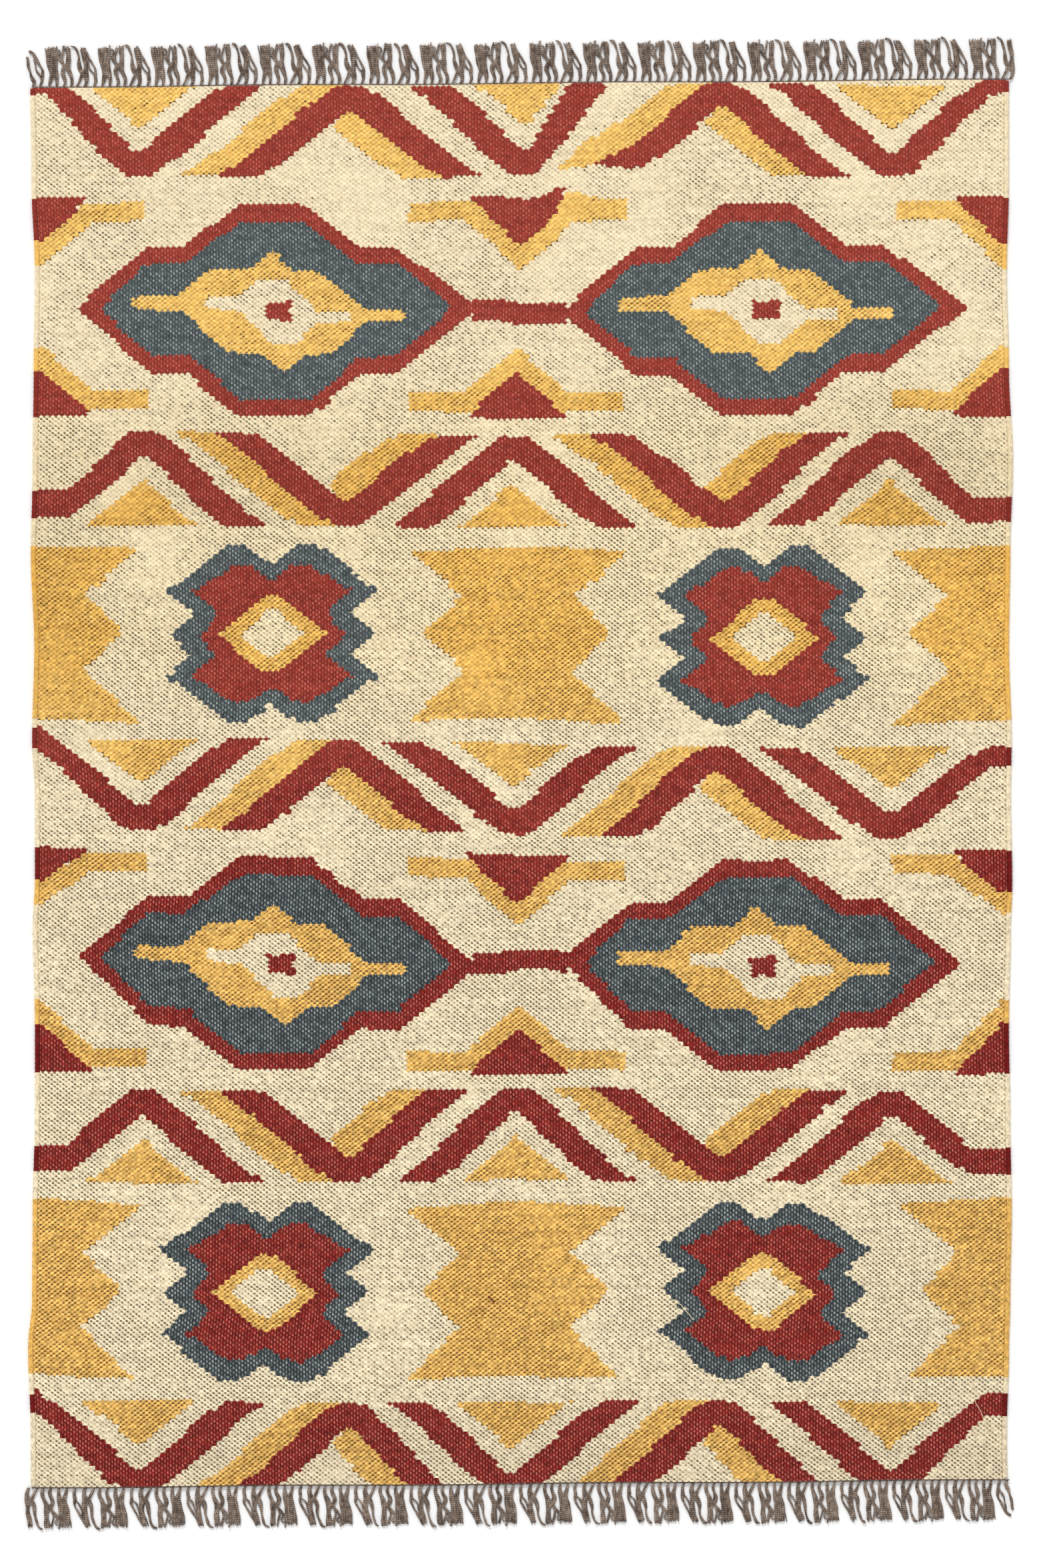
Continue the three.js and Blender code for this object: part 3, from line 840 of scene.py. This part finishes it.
facing_down = read_values(ground.data.polygons, "normal", 3)[:, 2] < -0.5
set_values(ground.data, "yarn", "FACE", yarn_at(centres[:, 0], centres[:, 1]))
set_values(ground.data, "tone_shift", "FACE", tone_shift_at(centres[:, 0], centres[:, 1]))
set_values(ground.data, "bead", "FACE", rng.random(len(centres)))
set_values(ground.data, "pick", "FACE", 0.5 + 0.5 * np.sin(centres[:, 1] * 9000))
plan_uv(ground, facing_down)
ground.data.materials.append(mixed_material)
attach(ground, "root")
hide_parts("woven_cloth")


# Tubes that follow a path

class Strands:
    """Many closed tubes gathered for one mesh."""

    def __init__(self):
        self.points, self.quads, self.tones, self.alongs, self.plies = [], [], [], [], []
        self.count = 0

    def add(self, path, radii, sides=4, flatten=1.0, turn=0.0, tone=0.5):
        path = np.asarray(path, float)
        tangent = np.gradient(path, axis=0)
        tangent /= np.linalg.norm(tangent, axis=1)[:, None]
        across = np.cross(tangent, (0.0, 0.0, 1.0))
        across /= np.linalg.norm(across, axis=1)[:, None]
        upward = np.cross(across, tangent)
        angle = turn + 2 * math.pi * np.arange(sides) / sides
        ring = (across[:, None, :] * np.cos(angle)[None, :, None]
                + upward[:, None, :] * np.sin(angle)[None, :, None] * flatten)
        points = path[:, None, :] + np.asarray(radii)[:, None, None] * ring
        rings = len(path)
        start = self.count + np.arange(rings - 1)[:, None] * sides
        here = start + np.arange(sides)[None, :]
        beside = start + (np.arange(sides)[None, :] + 1) % sides
        quads = np.stack([here, here + sides, beside + sides, beside], -1).reshape(-1, 4)
        first = self.count + np.arange(sides)
        last = first[::-1] + (rings - 1) * sides
        caps = []
        for cap in (first, last):
            for k in range(1, sides - 1, 2):
                caps.append([cap[0], cap[k], cap[k + 1], cap[min(k + 2, sides - 1)]])
        caps = np.array([c for c in caps if c[2] != c[3]])
        steps = np.linalg.norm(np.diff(path, axis=0), axis=1)
        self.alongs.append(np.repeat(np.concatenate(([0], np.cumsum(steps))), sides))
        self.plies.append(np.tile(np.stack([np.cos(angle), np.sin(angle)], -1), (rings, 1)))
        self.points.append(points.reshape(-1, 3))
        self.quads.append(np.concatenate([quads, caps]))
        self.tones.append(np.full(len(quads) + len(caps), tone))
        self.count += rings * sides

    def piece(self, name, material):
        made = mesh_from_faces(name, np.concatenate(self.points), [np.concatenate(self.quads)])
        mesh = made.data
        mesh.polygons.foreach_set("use_smooth", np.ones(len(mesh.polygons), bool))
        set_values(mesh, "bead", "FACE", np.concatenate(self.tones))
        plies = np.concatenate(self.plies)
        set_values(mesh, "along", "POINT", np.concatenate(self.alongs))
        set_values(mesh, "ply_x", "POINT", plies[:, 0])
        set_values(mesh, "ply_y", "POINT", plies[:, 1])
        plan_uv(made, np.ones(len(mesh.polygons), bool))
        mesh.materials.append(material)
        return made


def turned_half_round(path):
    return path * np.array([-1.0, -1.0, 1.0])


# Fringe: the warps' ends, in groups that repeat along the end

GROUP_COUNT = 18
# Each end, in millimetres: where its first group starts, and how wide its first and last groups are.
FAR_GROUPS = (-775.5, 86.85, 91.3)
NEAR_GROUPS = (-774.5, 84.7, 93.7)
CHART_PITCH = 84.5
TIP_SWAY = 0.25
SWAY_STEP = 2.4
LOCK_ROOT_DEPTH = 1.2
STRAND_RADIUS = 1.28
STATION_STEPS = 2
TWINE_TURN = 0.011
TWINE_RADIUS = 0.00085
TWINE_STEPS = 640

# Each lock: how many strands it has, and its middle line's place across, its reach outwards and its width.
LOCK_CHART = {
    "straight_left": (7, ((4, 0, 2.2), (6, 9.5, 5.2), (8.5, 19, 8), (4.7, 42, 9.8), (2.2, 66, 10))),
    "straight_right": (6, ((15.6, 0, 2.2), (17, 9.5, 5.2), (15, 19, 7.6), (12.3, 42, 9), (10.1, 66, 9))),
    "straight_tip": (2, ((15.6, 0, 1.2), (15.5, 20, 1.6), (13.2, 48, 2), (16, 69.5, 3))),
    "bent_left": (5, ((26.5, 0, 2.2), (30, 7.5, 4.8), (28.1, 15, 5.6), (25.4, 23, 6.8), (27.2, 31, 6.4),
                      (33.3, 39.5, 4.6), (35.8, 52, 4), (34.1, 67.5, 4.6))),
    "bent_right": (6, ((38.8, 0, 2.2), (41, 9, 5), (38.8, 17.7, 6), (35.4, 27, 6.8), (34.7, 38, 7),
                       (34.4, 52, 7.8), (33.3, 68, 9))),
    "bent_branch": (3, ((38.8, 0, 1.4), (38.6, 18, 2), (32, 28.6, 2.6), (26.5, 38.2, 3), (24, 46.4, 2.6),
                        (25.8, 56, 3.8), (28.1, 68, 4.4))),
    "bent_loop": (2, ((30.3, 30.7, 1.2), (22.4, 41, 1.6), (18, 47.5, 1.8), (15.9, 54, 1.6), (17, 61.4, 1.6),
                      (20.4, 60.3, 1.6), (21.7, 56, 1.6), (18.9, 50.5, 1.6), (23.1, 44.3, 1.6),
                      (28.1, 36.2, 1.2))),
    "crossing_left": (5, ((47.2, 0, 2), (51.6, 8.2, 4), (56.3, 19, 5), (61.3, 28.6, 5.6), (61.3, 42.3, 6),
                          (59.3, 54.6, 7.8), (56.3, 66, 9))),
    "crossing_right": (4, ((59.3, 0, 2), (62.8, 6.8, 4), (60.6, 16.4, 4.4), (54.5, 26, 6.6),
                           (51.7, 36.8, 5.6), (51.3, 47, 3.2), (48.6, 57.3, 3.6), (44.5, 65.8, 3.4),
                           (38.6, 68.6, 3))),
    "crossing_straight": (4, ((61.7, 0, 2.8), (64.4, 9.5, 4.8), (63.6, 21.8, 5.6), (63.1, 35.5, 5.6),
                              (60.6, 50.5, 7), (58.2, 66, 7))),
    "looped_outer": (4, ((75, 0, 2.2), (78.1, 8.9, 4.8), (77.3, 19, 5.4), (78.4, 26, 3.2), (74.3, 35.5, 2.4),
                         (69.1, 45, 3.2), (62.7, 57.3, 4), (59.3, 66, 3.8))),
    "looped_inner": (2, ((75, 0, 1.2), (77.8, 9.5, 2.2), (75.9, 21.1, 2.4), (71.3, 25.2, 1.6),
                         (68.1, 31.4, 1.4), (66.3, 39.6, 1.6), (64, 49, 2.4))),
}
LOOSE_CHART = (
    (5, ((-22.6, 0, 2.2), (-19.5, 6.5, 5), (-23, 15, 5.8), (-26.5, 25, 2.6), (-29, 36, 4.2), (-31, 50, 3.6))),
    (4, ((-11, 0, 2.2), (-7.2, 9.5, 4.8), (-6.9, 19, 5.2), (-6, 26, 3.2), (-10.3, 35.5, 3), (-17.1, 46.4, 4),
         (-22.6, 56, 4.4), (-30, 59, 4.4))),
    (2, ((-11, 0, 1.2), (-8, 12, 2), (-13, 21.8, 1.6), (-17, 28.6, 1.4), (-17.8, 36.8, 1.6),
         (-21.2, 47.7, 2.4))),
)


def smooth_through(stations, steps, end):
    """Points on a smooth curve through the stations, up to a share of its length."""
    stations = np.array(stations, float)
    course = np.concatenate(([0], np.cumsum(np.linalg.norm(np.diff(stations[:, :2], axis=0), axis=1))))
    slopes = np.gradient(stations, course, axis=0)
    wanted = np.linspace(0, course[-1] * end, steps)
    below = np.clip(np.searchsorted(course, wanted) - 1, 0, len(course) - 2)
    width = (course[below + 1] - course[below])[:, None]
    t = ((wanted - course[below]) / (course[below + 1] - course[below]))[:, None]
    a, b = stations[below], stations[below + 1]
    da, db = slopes[below] * width, slopes[below + 1] * width
    return (a * (2 * t**3 - 3 * t**2 + 1) + da * (t**3 - 2 * t**2 + t)
            + b * (3 * t**2 - 2 * t**3) + db * (t**3 - t**2))


def add_lock(strands, start_x, pitch, group, strand_count, stations, draw, ending):
    """One lock: strands side by side that cross each other a little, with ragged tips."""
    steps = STATION_STEPS * (len(stations) - 1) + 2
    for strand in range(strand_count):
        line = smooth_through(stations, steps, draw.uniform(0.93, 1.0))
        across, out, width = line.T
        share = np.linspace(0, 1, steps)
        heading = np.gradient(line[:, :2], axis=0)
        heading /= np.linalg.norm(heading, axis=1)[:, None]
        place = strand / (strand_count - 1) - 0.5
        phase = draw.uniform(0, 2 * math.pi)
        waves = draw.uniform(1.5, 3.0)
        side = place * np.maximum(width - 1.6 * STRAND_RADIUS, 0.5)
        side += 0.6 * np.sin(phase + waves * 2 * math.pi * share) * np.minimum(1, share * 4)
        side += draw.uniform(-0.9, 0.9) * share**3
        free = np.minimum(1, out / 4)
        x = start_x + (across + side * heading[:, 1]) * pitch / CHART_PITCH
        x = x + TIP_SWAY * math.sin(SWAY_STEP * group) * share
        y = far_edge_y(np.clip(x * MM, -HALF_WIDTH, HALF_WIDTH)) / MM
        y = y + (CORD_GAP + CORD_WIDTH) / MM - LOCK_ROOT_DEPTH + out - side * heading[:, 0] * free
        radii = STRAND_RADIUS * (1 + 0.14 * np.sin(phase * 3 + 11 * share))
        radii[-1] *= draw.uniform(0.55, 0.95)
        radii = np.where(out < 3, radii * 0.8, radii)
        layer = 1.15 + 1.2 * ((strand * 2) % 3) / 2
        z = layer + 0.6 + 0.7 * np.sin(phase + 1 + waves * 2 * math.pi * share)
        z = z * np.minimum(1, 0.35 + out / 14) + 2.0 * np.maximum(0, 1 - out / 8)
        z = np.maximum(z, radii + 0.02)
        path = np.stack([x, y, z], -1) * MM
        strands.add(ending(path), radii * MM, sides=4, turn=draw.uniform(0, 1.5), tone=draw.random())


def fringe(name, groups, ending, seed, material):
    """One end's fringe and the twined cord that it grows out of."""
    draw = np.random.default_rng(seed)
    strands = Strands()
    start, first_pitch, last_pitch = groups
    for count, stations in LOOSE_CHART:
        add_lock(strands, start, first_pitch, 0, count, stations, draw, ending)
    for group in range(GROUP_COUNT):
        pitch = first_pitch + (last_pitch - first_pitch) * group / (GROUP_COUNT - 1)
        for lock, (count, stations) in LOCK_CHART.items():
            if group == GROUP_COUNT - 1 and lock.startswith("looped"):
                continue
            add_lock(strands, start, pitch, group, count, stations, draw, ending)
        start += pitch
    along = np.linspace(-HALF_WIDTH, HALF_WIDTH, TWINE_STEPS)
    for half in (0, math.pi):
        turn = along / TWINE_TURN * 2 * math.pi + half
        y = far_edge_y(along) + CORD_GAP + CORD_WIDTH / 2 + 0.00045 * np.cos(turn)
        z = 0.0040 + 0.00055 * np.sin(turn)
        path = np.stack([along, y, z], -1)
        strands.add(ending(path), np.full(len(along), TWINE_RADIUS), sides=4, turn=0.4, tone=0.25)
    return strands.piece(name, material)


fringe_material = warp_material("warp_cotton", (184, 166, 152), (146, 126, 111), (88, 72, 62))
for name, groups, ending, node in (
    ("fringe_strands_far", FAR_GROUPS, lambda path: path, "fringe_far"),
    ("fringe_strands_near", NEAR_GROUPS, turned_half_round, "fringe_near"),
):
    piece = fringe(name, groups, ending, 31, fringe_material)
    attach(piece, "root")
    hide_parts(node)


# Loose ends: three bits of weft that lie on the cloth, with their courses in millimetres

LOOSE_ENDS = (
    ("cream", 0.6, ((256, -849), (263, -853), (270, -862), (276, -868), (282, -877))),
    ("red", 0.9, ((-53, -838), (-49, -841), (-45, -846), (-43, -851))),
    ("cream", 0.45, ((730, -976), (741, -990), (744, -1012), (755, -1031), (760, -1052), (771, -1068))),
)
for index, (yarn_name, radius, course) in enumerate(LOOSE_ENDS):
    course = np.array(course, float)
    along = np.linspace(0, len(course) - 1, 6 * len(course))
    x = np.interp(along, np.arange(len(course)), course[:, 0])
    y = np.interp(along, np.arange(len(course)), course[:, 1])
    z = 7.2 + radius + 0.3 * np.sin(along * 3)
    strands = Strands()
    strands.add(np.stack([x, y, z], -1) * MM, np.full(len(x), radius * MM), sides=6)
    piece = strands.piece("loose_end_%d" % (index + 1), weft_materials[yarn_name])
    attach(piece, "root")


# Selvedges: the wefts' turns round the outermost warps

SELVEDGE_HEIGHT = 0.0062
SELVEDGE_MIDDLE = 0.0034
SELVEDGE_SIDES = 8


def selvedge(name, side):
    """A band of weft turns down one side, two picks to a turn."""
    along = np.linspace(0.0005, 0.9995, PICKS + 1)
    across = np.full(along.shape, 0.0 if side < 0 else 1.0)
    x, y = cloth_point(across, along, SELVEDGE_WIDTH / 2 - 0.0006)
    bulge = np.where(np.arange(len(along)) % 2 == 0, 1.0, 0.90)
    draw = np.random.default_rng(5 if side < 0 else 6)
    radii = (SELVEDGE_WIDTH / 2 + 0.0005) * bulge * (1 + draw.uniform(-0.03, 0.03, len(along)))
    path = np.stack([x, y, np.full(x.shape, SELVEDGE_MIDDLE)], -1)
    strands = Strands()
    strands.add(path, radii, sides=SELVEDGE_SIDES, flatten=SELVEDGE_HEIGHT / SELVEDGE_WIDTH,
                turn=math.pi / SELVEDGE_SIDES)
    piece = strands.piece(name, mixed_material)
    mesh = piece.data
    centres = read_values(mesh.polygons, "center", 3)
    edge = yarn_at(np.full(len(centres), side * (HALF_WIDTH - 0.012)), centres[:, 1])
    set_values(mesh, "yarn", "FACE", edge)
    set_values(mesh, "tone_shift", "FACE", tone_shift_at(centres[:, 0], centres[:, 1]) - 0.10)
    set_values(mesh, "pick", "FACE", 0.5 + 0.5 * np.sin(centres[:, 1] * 3000))
    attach(piece, "root")
    return piece


selvedge("selvedge_left", -1)
selvedge("selvedge_right", 1)


# Floor, light and camera

def plain_material(name, colour):
    nodes = Nodes(name)
    shader = nodes.add("ShaderNodeBsdfPrincipled")
    shader.inputs["Base Color"].default_value = colour
    shader.inputs["Roughness"].default_value = 0.9
    shader.inputs["Specular IOR Level"].default_value = 0.0
    output = nodes.add("ShaderNodeOutputMaterial")
    nodes.tree.links.new(shader.outputs[0], output.inputs["Surface"])
    return nodes.material


bpy.ops.object.select_all(action="DESELECT")
bpy.ops.mesh.primitive_plane_add(size=60, location=(0, 0, -0.0003))
floor = bpy.context.object
floor.name = "floor"
floor.data.materials.append(plain_material("floor_paper", (0.97, 0.97, 0.97, 1)))

world = bpy.data.worlds.new("studio")
bpy.context.scene.world = world
world.use_nodes = True
world.node_tree.nodes["Background"].inputs[0].default_value = (1, 1, 1, 1)
world.node_tree.nodes["Background"].inputs[1].default_value = 0.80

sun_data = bpy.data.lights.new("window", "SUN")
sun_data.energy = 1.5
sun_data.angle = math.radians(12)
sun = bpy.data.objects.new("window", sun_data)
bpy.context.scene.collection.objects.link(sun)
sun.rotation_euler = (math.radians(-52), math.radians(-18), 0)

CAMERA_HEIGHT = 12.0
FIELD_LENGTH = 2.5653264
camera_data = bpy.data.cameras.new("camera")
camera_data.sensor_width = 36
camera_data.lens = CAMERA_HEIGHT * camera_data.sensor_width / FIELD_LENGTH
camera_data.clip_end = 100
camera = bpy.data.objects.new("camera", camera_data)
camera.location = (0.0033, -0.0009, CAMERA_HEIGHT)
bpy.context.scene.collection.objects.link(camera)
bpy.context.scene.camera = camera
bpy.context.scene.view_settings.view_transform = "Standard"
bpy.context.scene.view_settings.look = "None"
